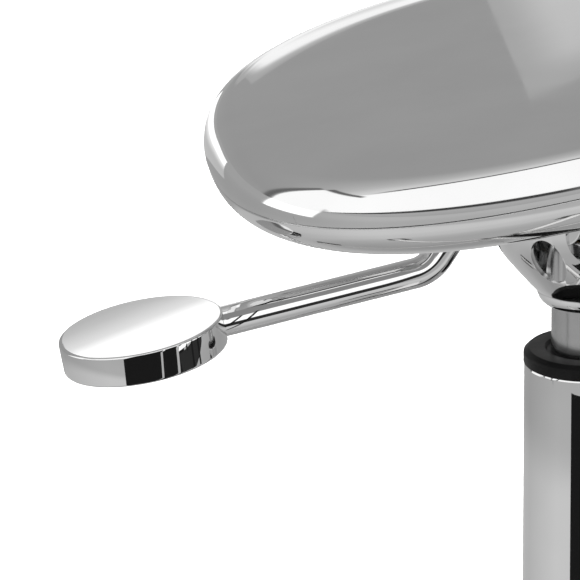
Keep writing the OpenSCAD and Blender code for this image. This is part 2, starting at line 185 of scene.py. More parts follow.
class Shader:
    """A Principled material under construction, with short calls for the nodes that it needs."""

    def __init__(self, name, **values):
        self.material = bpy.data.materials.new(name)
        self.material.use_nodes = True
        self.tree = self.material.node_tree
        self.bsdf = self.tree.nodes["Principled BSDF"]
        for key, value in values.items():
            self.bsdf.inputs[key.replace("_", " ")].default_value = value
        self.coords = self.node("ShaderNodeTexCoord").outputs["Object"]

    def node(self, kind, **props):
        n = self.tree.nodes.new(kind)
        for key, value in props.items():
            setattr(n, key, value)
        return n

    def link(self, a, b):
        self.tree.links.new(a, b)

    def stretched(self, x, y, z):
        m = self.node("ShaderNodeMapping")
        m.inputs["Scale"].default_value = (x, y, z)
        self.link(self.coords, m.inputs["Vector"])
        return m.outputs["Vector"]

    def noise(self, scale, detail=3.0, rough=0.5, vector=None):
        n = self.node("ShaderNodeTexNoise")
        n.inputs["Scale"].default_value = scale
        n.inputs["Detail"].default_value = detail
        n.inputs["Roughness"].default_value = rough
        self.link(vector or self.coords, n.inputs["Vector"])
        return n.outputs["Fac"]

    def spread(self, source, low, high):
        """Stretches the useful middle of a noise to run from low to high."""
        m = self.node("ShaderNodeMapRange")
        for key, value in zip(("From Min", "From Max", "To Min", "To Max"), (*NOISE_MIDDLE, low, high)):
            m.inputs[key].default_value = value
        self.link(source, m.inputs["Value"])
        return m.outputs["Result"]

    def colours(self, source, *stops):
        ramp = self.node("ShaderNodeValToRGB")
        elements = ramp.color_ramp.elements
        while len(elements) < len(stops):
            elements.new(0.5)
        for element, (at, colour) in zip(elements, stops):
            element.position = at
            element.color = (*colour, 1)
        self.link(source, ramp.inputs["Fac"])
        self.link(ramp.outputs["Color"], self.bsdf.inputs["Base Color"])

    def roughness(self, source):
        self.link(source, self.bsdf.inputs["Roughness"])

    def bumps(self, *layers):
        """Chains bump layers, each (height, distance)."""
        normal = None
        for height, distance in layers:
            b = self.node("ShaderNodeBump")
            b.inputs["Strength"].default_value = 1.0
            b.inputs["Distance"].default_value = distance
            self.link(height, b.inputs["Height"])
            if normal:
                self.link(normal, b.inputs["Normal"])
            normal = b.outputs["Normal"]
        self.link(normal, self.bsdf.inputs["Normal"])


def grey(v, warm=0.0):
    return (v + warm, v, v - warm)


def chrome(name, wave=0.00002, wave_scale=14.0, haze=0.035):
    """Mirror chrome plate: slow waves of the pressed sheet, faint polishing haze and hairlines."""
    s = Shader(name, Metallic=1.0)
    s.colours(s.noise(22.0), (0.3, grey(0.80)), (0.7, grey(0.845)))
    hair = s.noise(600.0, 2.0, 0.6, s.stretched(1.0, 0.06, 0.06))
    s.roughness(s.spread(s.noise(35.0, 5.0, 0.65), haze * 0.7, haze * 1.6))
    s.bumps((s.noise(wave_scale, 1.0), wave), (hair, 0.0000012))
    return s.material


def chrome_painted_reflection_streaks():
    """Plated chrome with painted reflections: vertical streaks in its colour that run from bright to dark."""
    s = Shader("chrome_painted_reflection_streaks", Metallic=1.0)
    streaks = s.noise(1.0, 3.0, 0.6, s.stretched(260.0, 260.0, 4.0))
    # painted reflection: the colour's dark and bright vertical streaks stand in for stripes mirrored from around
    # the cup
    s.colours(streaks, (0.34, grey(0.10)), (0.48, grey(0.55)), (0.62, grey(0.80)))
    s.roughness(s.spread(s.noise(80.0, 3.0), 0.10, 0.18))
    s.bumps((streaks, 0.00002))
    return s.material


def polished_alloy():
    """Polished cast aluminium: warmer and softer than chrome, with buffing marks and fine pits."""
    s = Shader("polished_alloy", Metallic=1.0)
    s.colours(s.noise(40.0, 4.0), (0.3, grey(0.70, 0.004)), (0.7, grey(0.77, 0.004)))
    s.roughness(s.spread(s.noise(55.0, 6.0, 0.7), 0.10, 0.20))
    s.bumps((s.noise(30.0, 2.0), 0.00005), (s.noise(900.0, 3.0), 0.000004))
    return s.material


def ground_steel():
    """Centreless-ground steel: satin, with fine rings about the axis and slow streaks in its sheen."""
    s = Shader("ground_steel", Metallic=1.0)
    s.colours(s.noise(60.0, 3.0), (0.3, grey(0.50)), (0.7, grey(0.58)))
    rings = s.noise(1.0, 3.0, 0.6, s.stretched(3.0, 3.0, 2600.0))
    s.roughness(s.spread(rings, 0.19, 0.27))
    s.bumps((rings, 0.0000009), (s.noise(1200.0, 2.0), 0.000001))
    return s.material


def zinc_steel():
    """Bright zinc plate on pressed steel, with a cloudy passivated sheen."""
    s = Shader("zinc_steel", Metallic=1.0)
    s.colours(s.noise(90.0, 5.0, 0.6), (0.3, (0.50, 0.51, 0.52)), (0.7, (0.62, 0.62, 0.61)))
    s.roughness(s.spread(s.noise(160.0, 5.0, 0.7), 0.26, 0.46))
    s.bumps((s.noise(700.0, 4.0), 0.00001))
    return s.material


def turned_brass():
    s = Shader("turned_brass", Metallic=1.0)
    s.colours(s.noise(70.0, 4.0), (0.3, (0.66, 0.48, 0.20)), (0.7, (0.76, 0.58, 0.29)))
    turning = s.noise(1.0, 3.0, 0.6, s.stretched(4.0, 4.0, 2500.0))
    s.roughness(s.spread(turning, 0.18, 0.32))
    s.bumps((turning, 0.000008))
    return s.material


def black_plastic(name, base=0.018, rough=0.36, grain=1400.0, depth=0.000012, shine=0.5):
    """Moulded black plastic: fine grain, slight greying and patchy sheen."""
    s = Shader(name, IOR=1.48, Specular_IOR_Level=shine)
    s.colours(s.noise(120.0, 4.0), (0.3, grey(base * 0.8)), (0.7, grey(base * 1.35)))
    s.roughness(s.spread(s.noise(90.0, 5.0, 0.65), rough * 0.85, rough * 1.3))
    s.bumps((s.noise(grain, 3.0, 0.6), depth), (s.noise(45.0, 2.0), 0.00003))
    return s.material


def tread_rubber():
    """Polyurethane tread: satin dark grey, with scuffs and a little dust."""
    s = Shader("tread_rubber", IOR=1.50)
    s.colours(s.noise(75.0, 6.0, 0.7), (0.35, grey(0.030)), (0.62, grey(0.048)), (0.72, grey(0.085)))
    s.roughness(s.spread(s.noise(130.0, 5.0, 0.7), 0.48, 0.72))
    s.bumps((s.noise(500.0, 5.0, 0.7), 0.00003))
    return s.material


def plywood():
    """Birch plywood: long grain and the stacked edge of its plies."""
    s = Shader("plywood", IOR=1.45)
    grain = s.noise(30.0, 8.0, 0.65, s.stretched(1.0, 9.0, 60.0))
    s.colours(grain, (0.3, (0.46, 0.31, 0.17)), (0.55, (0.66, 0.49, 0.30)), (0.75, (0.74, 0.58, 0.38)))
    s.roughness(s.spread(grain, 0.5, 0.75))
    s.bumps((grain, 0.00008))
    return s.material


def black_rubber():
    s = Shader("black_rubber", IOR=1.5)
    s.colours(s.noise(200.0, 5.0), (0.3, grey(0.022)), (0.7, grey(0.034)))
    s.roughness(s.spread(s.noise(150.0, 4.0), 0.6, 0.8))
    s.bumps((s.noise(800.0, 4.0), 0.00003))
    return s.material


SEAT_CHROME = chrome("seat_chrome", wave=0.000022, wave_scale=17.0, haze=0.04)
CHROME = chrome("bright_chrome", wave=0.000006, wave_scale=24.0, haze=0.03)
PAINTED_STREAK_CHROME = chrome_painted_reflection_streaks()
ALLOY = polished_alloy()
GROUND = ground_steel()
ZINC = zinc_steel()
BRASS = turned_brass()
COLLAR = black_plastic("collar_plastic", 0.0035, 0.34, shine=0.16)
HOOD = black_plastic("caster_plastic", 0.022, 0.42, 1100.0, 0.00002)
TREAD = tread_rubber()
PLY = plywood()
RUBBER = black_rubber()

SLOT_MATERIALS = {
    "chrome": CHROME, "polished_alloy": ALLOY, "ground_steel": GROUND, "zinc_steel": ZINC,
    "brass": BRASS, "collar_plastic": COLLAR, "caster_plastic": HOOD, "wheel_tread": TREAD,
    "rubber": RUBBER, "plywood": PLY,
}


def dress_cad_nodes():
    """Gives every CAD node the detailed material of its slot."""
    slot_of = {s["node"]: s["material_slot"] for s in frame["record"]["subparts"]}
    for name, obj in frame["nodes"].items():
        for k in range(len(obj.material_slots)):
            obj.material_slots[k].material = SLOT_MATERIALS[slot_of[name]]


# ---------------------------------------------------------------- seat

SEAT_HALF = 148 * MM
SEAT_STRETCH = 1.05
SEAT_POWER = 2.45
SEAT_TURN = math.radians(23)
SEAM_Z = 45 * MM
UPPER_H, UPPER_EDGE = 19 * MM, 14 * MM
CROWN_W, CROWN_FALL = 28 * MM, 1.8 * MM
LOWER_H, LOWER_EDGE = 22 * MM, 44 * MM
SEAT_SIDES = 288
LIP_IN, LIP_R, SEAM_GAP = 3 * MM, 0.45 * MM, 0.18 * MM


def squircle(inset, angle):
    c, s = math.cos(angle), math.sin(angle)
    x = (SEAT_HALF - inset) * math.copysign(abs(c) ** (2 / SEAT_POWER), c)
    y = (SEAT_HALF * SEAT_STRETCH - inset) * math.copysign(abs(s) ** (2 / SEAT_POWER), s)
    return x, y


def even_angles(count):
    """Angles that step evenly along the outline, so that its rounded corners stay smooth."""
    fine = 7200
    points = [Vector(squircle(0, 2 * math.pi * i / fine)) for i in range(fine + 1)]
    travelled = [0.0]
    for a, b in zip(points, points[1:]):
        travelled.append(travelled[-1] + (b - a).length)
    angles, k = [], 0
    for i in range(count):
        goal = travelled[-1] * i / count
        while travelled[k + 1] < goal:
            k += 1
        part = (goal - travelled[k]) / (travelled[k + 1] - travelled[k])
        angles.append(2 * math.pi * (k + part) / fine)
    return angles


def seat_pan(name, profile):
    """A pressed pan through (inset, z) rings. The last ring closes on the pan's middle."""
    angles = even_angles(SEAT_SIDES)
    place = LEAN @ Matrix.Rotation(SEAT_TURN, 4, "Z")
    bm = bmesh.new()
    rings = []
    for inset, z in profile:
        rings.append([bm.verts.new(place @ Vector((*squircle(inset, a), z))) for a in angles])
    loft(bm, rings, capped=False)
    middle = bm.verts.new(place @ Vector((0, 0, profile[-1][1])))
    for i in range(SEAT_SIDES):
        bm.faces.new((rings[-1][i], rings[-1][(i + 1) % SEAT_SIDES], middle))
    return make_object(name, bm, SEAT_CHROME, 40.0)


def build_seat():
    """Upper and lower pans, meeting in a hairline seam with a rolled lip."""
    steps, crown_steps = 26, 12
    lip = [(LIP_IN, SEAM_GAP), (LIP_R, SEAM_GAP), (0.08 * MM, SEAM_GAP + LIP_R * 0.6)]
    upper = [(inset, SEAM_Z + z) for inset, z in lip]
    lower = [(inset, SEAM_Z - z) for inset, z in lip]
    for k in range(2, steps + 1):
        t = math.pi / 2 * k / steps
        upper.append((UPPER_EDGE * (1 - math.cos(t)), SEAM_Z + (UPPER_H - CROWN_FALL) * math.sin(t)))
        lower.append((LOWER_EDGE * (1 - math.cos(t)), SEAM_Z - LOWER_H * math.sin(t)))
    for k in range(1, crown_steps + 1):
        part = k / crown_steps
        upper.append((UPPER_EDGE + CROWN_W * part, SEAM_Z + UPPER_H - CROWN_FALL * (1 - part) ** 2))
    for inset in (60, 90, 120):
        upper.append((inset * MM, SEAM_Z + UPPER_H))
    for inset in (56, 75, 100, 125):
        lower.append((inset * MM, SEAM_Z - LOWER_H))
    placed(seat_pan("seat_upper_pan", upper), "seat", "chrome", "seat_shell_top")
    placed(seat_pan("seat_lower_pan", lower), "seat", "chrome", "seat_shell_bottom")


# ---------------------------------------------------------------- lever

ROD_R = 6.35 * MM
ROD_TOP = 4 * MM
BEND_R = 16 * MM
BEND = math.radians(45)
BEND_OUT = 76 * MM
KNOB_ROLL = math.radians(2.8)
KNOB_R, KNOB_HALF, KNOB_SOFT, KNOB_CROWN = 34 * MM, 6.5 * MM, 0.9 * MM, 0.12 * MM


def lever_line():
    """Centre points of the rod in the lever's own frame, from its inner end out to the knob."""
    rise = ROD_TOP - LEVER_LOW
    straight = (rise - 2 * BEND_R * (1 - math.cos(BEND))) / math.sin(BEND)
    bend_in = BEND_OUT - 2 * BEND_R * math.sin(BEND) - straight * math.cos(BEND)
    steps = 20
    angles = [BEND * k / steps for k in range(steps + 1)]
    points = [(x * MM, ROD_TOP) for x in (12, 20, 28, 36)]
    points += [(bend_in + BEND_R * math.sin(a), ROD_TOP - BEND_R * (1 - math.cos(a))) for a in angles]
    points += [(BEND_OUT - BEND_R * math.sin(a), LEVER_LOW + BEND_R * (1 - math.cos(a)))
               for a in reversed(angles)]
    end = KNOB_REACH - KNOB_R + 1 * MM
    points += [(BEND_OUT + (end - BEND_OUT) * k / 8, LEVER_LOW) for k in range(1, 9)]
    return [LEVER @ Vector((x, 0, z)) for x, z in points]


def build_lever():
    """Bent rod, and the disc knob that caps it, barely crowned and rolled a little about the rod."""
    bm = bmesh.new()
    side = (LEVER.to_3x3() @ Vector((0, 1, 0))).normalized()
    sweep(bm, lever_line(), ROD_R, side, 64)
    placed(make_object("lever_bent_rod", bm, CHROME, 50.0), "lever", "chrome", "lever_rod")

    near_edge = KNOB_R * 0.95
    profile = [(0, KNOB_HALF + KNOB_CROWN)]
    profile += [(KNOB_R * k / 8, KNOB_HALF + KNOB_CROWN * (1 - (k / 8) ** 2)) for k in range(1, 8)]
    profile += rounded([(near_edge, KNOB_HALF, 0), (KNOB_R, KNOB_HALF, KNOB_SOFT),
                        (KNOB_R, -KNOB_HALF, KNOB_SOFT * 1.4), (near_edge, -KNOB_HALF, 0)])
    profile += [(0, -KNOB_HALF)]
    bm = bmesh.new()
    place = LEVER @ Matrix.Translation((KNOB_REACH, 0, LEVER_LOW)) @ Matrix.Rotation(-KNOB_ROLL, 4, "X")
    lathe(bm, profile, 192, place, closed=False)
    placed(make_object("lever_disc_knob", bm, CHROME, 50.0), "lever", "chrome", "lever_knob")


# ---------------------------------------------------------------- seat mount bowl


# Turns of the cut-outs from the lever in degrees, and their sizes in mm over the ring reference
WINDOWS = (54.2, 135, 225, -54.2)
BAYS = (90, 180, 270)
WINDOW_HALF_W, WINDOW_HALF_H, WINDOW_AT = 7.4, 11.3, 25.7
BAY_HALF_W, BAY_LOW = 17.5, 24.5
NOTCH_HALF_W, NOTCH_LOW = 10, 21
CUT_FROM, CUT_TO, CUT_TOP = 17, 60, 70
CUP_IN_R, CUP_R, CUP_LOW, CUP_TOP = 27 * MM, 29.5 * MM, RING_Z + 13.5 * MM, RING_Z + 32 * MM
BOSS_HOLE_R, BOSS_R, BOSS_IN, BOSS_OUT = 3.1 * MM, 7.5 * MM, 34 * MM, 41.5 * MM
EDGE_R = 0.8 * MM


def bowl_profile():
    """Bead and outer wall from the neck up to the rolled lip, then the thin wall back to the sleeve."""
    bead = [(14.3 + 5.8 * math.sin(a), -3.6 + 6.4 * (1 - math.cos(a)))
            for a in (math.pi / 2 * k / 12 for k in range(13))]
    outer = [(21.2, 3.6), (24.8, 7.6), (29.4, 13), (33.6, 18.2), (37.4, 23.6), (40.6, 29.2), (43.2, 35.2),
             (45, 41), (45.6, 44.6), (45.7, 45.5), (45.3, 46)]
    inner = [(44.2, 46), (43.5, 45.2), (42.8, 41.2), (40.9, 35.6), (38.3, 29.8), (35, 24.4), (31.2, 19.2),
             (27, 14), (20, 11.5), (15.6, 11), (15, 12), (15, 28.4), (14.6, 29), (13.2, 29), (13.2, -3.4),
             (13.6, -3.6)]
    return [(r * MM, RING_Z + z * MM) for r, z in bead + outer + inner]


def cutter(turn, outline):
    """Prism that cuts the (y, z) outline outward through the bowl's wall, turned about the column."""
    bm = bmesh.new()
    spin = Matrix.Translation((0, 0, RING_Z)) @ Matrix.Rotation(turn, 4, "Z")
    loft(bm, [[bm.verts.new(spin @ Vector((x * MM, y * MM, z * MM))) for y, z in outline]
              for x in (CUT_FROM, CUT_TO)])
    return make_object("cutter", bm, CHROME)


def oval(half_width, half_height, centre):
    angles = [2 * math.pi * k / 64 for k in range(64)]
    return [(half_width * math.cos(a), centre + half_height * math.sin(a)) for a in angles]


def open_slot(half_width, low):
    """Round-bottomed notch, open at the rim."""
    angles = [math.pi + math.pi * k / 40 for k in range(41)]
    lower = [(half_width * math.cos(a), low + half_width + half_width * math.sin(a)) for a in angles]
    return lower + [(half_width, CUT_TOP), (-half_width, CUT_TOP)]


def apply_modifiers(obj):
    """Bakes the modifiers into the mesh."""
    evaluated = obj.evaluated_get(bpy.context.evaluated_depsgraph_get())
    mesh = bpy.data.meshes.new_from_object(evaluated)
    obj.modifiers.clear()
    obj.data = mesh


def build_bowl():
    """Spun bowl with its cut-outs softened, a cup inside it and a boss for each tilt pin."""
    bm = bmesh.new()
    lathe(bm, bowl_profile(), 192)
    bowl = make_object("tulip_bowl", bm, CHROME, 30.0)
    window = oval(WINDOW_HALF_W, WINDOW_HALF_H, WINDOW_AT)
    bay = open_slot(BAY_HALF_W, BAY_LOW)
    cutters = [cutter(LEVER_TURN + math.radians(a), window) for a in WINDOWS]
    cutters += [cutter(LEVER_TURN + math.radians(a), bay) for a in BAYS]
    cutters.append(cutter(LEVER_TURN, open_slot(NOTCH_HALF_W, NOTCH_LOW)))
    for tool in cutters:
        cut = bowl.modifiers.new("window", "BOOLEAN")
        cut.operation = "DIFFERENCE"
        cut.solver = "EXACT"
        cut.object = tool
    apply_modifiers(bowl)
    for tool in cutters:
        bpy.data.objects.remove(tool)
    bowl.data.set_sharp_from_angle(angle=math.radians(30))
    soften = bowl.modifiers.new("rim", "BEVEL")
    soften.width = 0.7 * MM
    soften.segments = 4
    soften.angle_limit = math.radians(40)
    soften.harden_normals = True
    apply_modifiers(bowl)
    placed(bowl, "lift", "chrome", "seat_bowl")

    # the inner cup's chrome carries painted reflection streaks in its colour
    cup = lathed("bowl_inner_cup", [
        (CUP_IN_R, CUP_LOW, 0), (CUP_IN_R, CUP_TOP, EDGE_R), (CUP_R, CUP_TOP, EDGE_R), (CUP_R, CUP_LOW, 0)],
        PAINTED_STREAK_CHROME, 160)
    placed(cup, "lift", "chrome")

    bm = bmesh.new()
    for side in (-1, 1):
        out = Matrix.Translation(PIVOT) @ Matrix.Rotation(-side * math.pi / 2, 4, "X")
        lathe(bm, rounded([(BOSS_HOLE_R, BOSS_IN, 0), (BOSS_R, BOSS_IN, EDGE_R),
                           (BOSS_R, BOSS_OUT, EDGE_R), (BOSS_HOLE_R, BOSS_OUT, 0)]), 64, out)
    placed(make_object("tilt_bosses", bm, CHROME), "lift", "chrome")


# ---------------------------------------------------------------- column and gas spring


TUBE_WALL, CYL_WALL, PLAY = 2 * MM, 2 * MM, 0.05 * MM
PLATE_T, PLATE_HOLE_R = 6 * MM, 7 * MM
TAPER_Z, TAPER_R, CYL_MOUTH_R, CYL_MOUTH_L = PIVOT.z - 45.6 * MM, 13 * MM, 9 * MM, 26 * MM


def build_column():
    """Column tube, the plastic collar with its liner inside the tube, and the gas spring's cylinder."""
    inner = TUBE_R - TUBE_WALL
    tube = lathed("chrome_column", [
        (inner, TUBE_LOW + PLATE_T, 0), (inner, TUBE_HIGH, 0.2 * MM),
        (TUBE_R - 0.4 * MM, TUBE_HIGH, 0.3 * MM), (TUBE_R, TUBE_HIGH - 0.9 * MM, EDGE_R),
        (TUBE_R, TUBE_LOW, 0.3 * MM), (PLATE_HOLE_R, TUBE_LOW, 0.3 * MM),
        (PLATE_HOLE_R, TUBE_LOW + PLATE_T, 0)], CHROME, 192)
    placed(tube, "base", "chrome", "column_tube")

    liner_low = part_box("guide_bush")[0].z
    bore = CYL_R + PLAY
    collar = lathed("guide_collar", [
        (bore, liner_low, 0), (inner, liner_low, 0.2 * MM), (inner, TUBE_HIGH, 0.1 * MM),
        (COLLAR_R, TUBE_HIGH, 0.3 * MM), (COLLAR_R, COLLAR_TOP - 1.8 * MM, 1.2 * MM),
        (COLLAR_R - 2.0 * MM, COLLAR_TOP, 1.0 * MM), (CYL_R + 2.6 * MM, COLLAR_TOP, 0.5 * MM),
        (CYL_R + 1.6 * MM, COLLAR_TOP - 1.3 * MM, 0.4 * MM), (bore, COLLAR_TOP - 1.5 * MM, 0.1 * MM)],
        COLLAR, 160)
    placed(collar, "base", "collar_plastic", "guide_bush")

    mouth_foot = CYL_TOP - CYL_MOUTH_L
    cylinder = lathed("gas_spring_cylinder", [
        (CYL_R - CYL_WALL, CYL_LOW, 0), (CYL_R, CYL_LOW, 0.4 * MM), (CYL_R, TAPER_Z, 0.1 * MM),
        (TAPER_R, CYL_TOP, 0.6 * MM), (CYL_MOUTH_R, CYL_TOP, 0.3 * MM), (CYL_MOUTH_R, mouth_foot, 0),
        (CYL_R - CYL_WALL, mouth_foot, 0)], GROUND, 160)
    placed(cylinder, "lift", "ground_steel", "gas_cylinder")


# ---------------------------------------------------------------- star base


# Leg sections in mm: distance out from the column, width, bottom and top
LEG_SECTIONS = ((16, 40, 66, 109), (34, 36, 66, 106), (60, 31, 65.5, 101), (110, 28, 64, 94.5),
                (170, 25.5, 62.4, 87.5), (225, 23.5, 61, 81.5), (262, 22, 60.5, 78.5))
LEG_SIDES = 28
# Exponent that squares up a section's ellipse, and how much narrower it is at the top than at the bottom
LEG_SQUARE, LEG_DRAFT = 0.62, 0.16
HUB_LOW, HUB_HOLE_R = 64 * MM, 19 * MM


def squared(value):
    return math.copysign(abs(value) ** LEG_SQUARE, value)


def build_base():
    """Hub with five tapered legs, lofted from rounded cross-sections, and a boss on each caster stem."""
    bm = bmesh.new()
    socket = TUBE_R + PLAY
    lathe(bm, rounded([
        (HUB_HOLE_R, HUB_LOW, 0), (36 * MM, HUB_LOW, 3 * MM), (35 * MM, HUB_LOW + 12 * MM, 8 * MM),
        (31 * MM, HUB_TOP - 6 * MM, 6 * MM), (29.5 * MM, HUB_TOP, 1.6 * MM), (socket, HUB_TOP, 0.5 * MM),
        (socket, TUBE_LOW, 0), (HUB_HOLE_R, TUBE_LOW, 0)]), 128)
    for n in range(LEGS):
        heading = math.atan2(SWIVELS[n].y, SWIVELS[n].x)
        spin = Matrix.Rotation(heading, 4, "Z")
        rings = []
        for x, width, low, high in LEG_SECTIONS:
            ring = []
            for k in range(LEG_SIDES):
                a = 2 * math.pi * k / LEG_SIDES
                z = (low + high) / 2 + (high - low) / 2 * squared(math.sin(a))
                y = width / 2 * squared(math.cos(a)) * (1 - LEG_DRAFT * (z - low) / (high - low))
                ring.append(bm.verts.new(spin @ Vector((x * MM, y * MM, z * MM))))
            rings.append(ring)
        loft(bm, rings)
        boss = Matrix.Translation((SWIVELS[n].x, SWIVELS[n].y, 0))
        top, roof = SOCKET_LOW + 24 * MM, SOCKET_LOW + 20 * MM
        lathe(bm, rounded([
            (0, roof, 0), (5.5 * MM, roof, 0), (5.5 * MM, SOCKET_LOW, 0.4 * MM),
            (12.6 * MM, SOCKET_LOW, EDGE_R), (13 * MM, top - 3 * MM, 3 * MM),
            (9 * MM, top, 3 * MM), (0, top, 0)]), 64, boss, closed=False)
    base = make_object("five_star_base", bm, ALLOY, 50.0)
    placed(base, "base", "polished_alloy", "star_base")


# ---------------------------------------------------------------- casters


SPOKES = 5
SPOKE_AT = Matrix.Translation((14.6 * MM, 0, 21.9 * MM))
SPOKE_SIZE = Matrix.Diagonal((8.4 * MM, 2.4 * MM, 1.3 * MM, 1))
HOOD_GAP, HOOD_OUT, HOOD_HALF_W, WEB_HALF = 1.2 * MM, 3.4 * MM, 23.5 * MM, 4 * MM
HOOD_FROM, HOOD_TO = math.radians(-14), math.radians(182)


def caster_place(n):
    """Frame on the floor under a caster's swivel, with +X pointing away from the column."""
    heading = math.atan2(SWIVELS[n].y, SWIVELS[n].x)
    return Matrix.Translation((SWIVELS[n].x, SWIVELS[n].y, 0)) @ Matrix.Rotation(heading, 4, "Z")


def axle_place(n, side):
    """Frame at the caster's axle whose +Z points out of the wheel on that side."""
    out = Matrix.Rotation(-side * math.pi / 2, 4, "X")
    return caster_place(n) @ Matrix.Translation((TRAIL, 0, WHEEL_R)) @ out


def build_wheel(n, side):
    """Wheel with a rounded tread and a dished face, and a small hub cap with raised spokes."""
    name = "left" if side > 0 else "right"
    place = axle_place(n, side)
    bm = bmesh.new()
    lathe(bm, rounded([
        (3.05 * MM, 4.3 * MM, 0), (7 * MM, 4.3 * MM, 0.4 * MM), (7 * MM, 11 * MM, 1 * MM),
        (19.5 * MM, 11 * MM, 1 * MM), (20 * MM, 9.4 * MM, 0.4 * MM), (23.4 * MM, 9.2 * MM, 0.8 * MM),
        (25 * MM, 10.6 * MM, 1.4 * MM), (25 * MM, 19.2 * MM, 3 * MM), (22.6 * MM, 22.6 * MM, 2 * MM),
        (20.6 * MM, 23 * MM, 0.5 * MM), (20.2 * MM, 22.1 * MM, 0.3 * MM), (9.5 * MM, 21.2 * MM, 1.5 * MM),
        (8.6 * MM, 22.3 * MM, 0.6 * MM), (3.05 * MM, 22.3 * MM, 0)], 5), 96, place)
    wheel = make_object("caster_wheel_%s_%d" % (name, n + 1), bm, TREAD, 40.0)
    placed(wheel, "roller_%s_%d" % (name, n + 1), "wheel_tread", "wheel_%s_%d" % (name, n + 1))

    bm = bmesh.new()
    lathe(bm, rounded([
        (0, 22.9 * MM, 0), (6.6 * MM, 22.7 * MM, 0.8 * MM), (7.4 * MM, 22.0 * MM, 0), (0, 22.0 * MM, 0)]),
        64, place, closed=False)
    for k in range(SPOKES):
        spin = Matrix.Rotation(2 * math.pi * k / SPOKES, 4, "Z")
        bmesh.ops.create_cube(bm, size=1, matrix=place @ spin @ SPOKE_AT @ SPOKE_SIZE)
    steep = 1.2
    corners = [e for e in bm.edges if len(e.link_faces) == 2 and e.calc_face_angle() > steep]
    bmesh.ops.bevel(bm, geom=corners, offset=0.35 * MM, segments=2, affect="EDGES")
    cap = make_object("wheel_cap_%s_%d" % (name, n + 1), bm, HOOD, 40.0)
    placed(cap, "roller_%s_%d" % (name, n + 1), "caster_plastic")


def build_hood(n):
    """Arched twin-wheel hood: a rounded shell over both wheels, a web between them and a neck."""
    place = caster_place(n) @ Matrix.Translation((TRAIL, 0, WHEEL_R))
    bm = bmesh.new()
    inner, outer, half = WHEEL_R + HOOD_GAP, WHEEL_R + HOOD_OUT, HOOD_HALF_W
    one_side = [(inner, half - 0.4 * MM, 0), (inner + 0.5 * MM, half, 0.3 * MM),
                (outer - 0.6 * MM, half, 1.6 * MM), (outer, half - 5 * MM, 3 * MM)]
    section = rounded([(r, -y, soft) for r, y, soft in one_side] + one_side[::-1], 4)

    def arch(r, y, a):
        return bm.verts.new(place @ Vector((r * math.cos(a), y, r * math.sin(a))))
    steps, web_steps = 56, 40
    angles = [HOOD_FROM + (HOOD_TO - HOOD_FROM) * k / steps for k in range(steps + 1)]
    loft(bm, [[arch(r, y, a) for r, y in section] for a in angles])
    angles = [HOOD_FROM + (HOOD_TO - HOOD_FROM) * k / web_steps for k in range(web_steps + 1)]
    loft(bm, [[arch(inner * 1.02, y, a) for a in angles] for y in (-WEB_HALF, WEB_HALF)])

    lathe(bm, rounded([
        (5.05 * MM, 33 * MM, 0), (5.05 * MM, 56 * MM, 0.3 * MM), (8.0 * MM, 56 * MM, 0.8 * MM),
        (8.5 * MM, 50 * MM, 0.8 * MM), (8.5 * MM, 30 * MM, 0.5 * MM), (5.05 * MM, 30 * MM, 0)]),
        48, caster_place(n))
    hood = make_object("caster_cover_%d" % (n + 1), bm, HOOD, 40.0)
    placed(hood, "caster_%d" % (n + 1), "caster_plastic", "caster_hood_%d" % (n + 1))


def build_casters():
    for n in range(LEGS):
        build_hood(n)
        build_wheel(n, 1)
        build_wheel(n, -1)


# ---------------------------------------------------------------- studio

VIEW_TURN = math.radians(15)
VIEW_RISE = math.radians(20)
VIEW_FAR = 5.0
VIEW_SCALE = 2445.0
FRAME_PX = 580
SENSOR = 36.0
TOWARD_CAMERA = Vector((math.sin(VIEW_TURN), -math.cos(VIEW_TURN), 0))
CAMERA_RIGHT = Vector((math.cos(VIEW_TURN), math.sin(VIEW_TURN), 0))


def build_camera():
    """Long lens at the photograph's angle, aimed left of the column and a little below the pivot."""
    target = Vector((-116.8 * MM, -31.3 * MM, RING_Z + 1.3 * MM))
    back = TOWARD_CAMERA * math.cos(VIEW_RISE) + Vector((0, 0, math.sin(VIEW_RISE)))
    data = bpy.data.cameras.new("camera")
    data.sensor_width = SENSOR
    data.lens = SENSOR * VIEW_SCALE * VIEW_FAR / FRAME_PX
    data.clip_end = 200
    camera = bpy.data.objects.new("camera", data)
    camera.location = target + back * VIEW_FAR
    camera.rotation_mode = "QUATERNION"
    camera.rotation_quaternion = (-back).to_track_quat("-Z", "Y")
    scene.collection.objects.link(camera)
    scene.camera = camera


# Strengths of the soft box, of the dark lines that frame it and of its left end's dark edge
WHITE, LINE, END_EDGE = 1.45, 0.06, 0.18
# Bearings from the camera's side, in degrees: the box's left end, and the dark edge past it
BOX_END, BOX_END_EDGE = (-117.5, -88.0), (-123.0, -118.0)


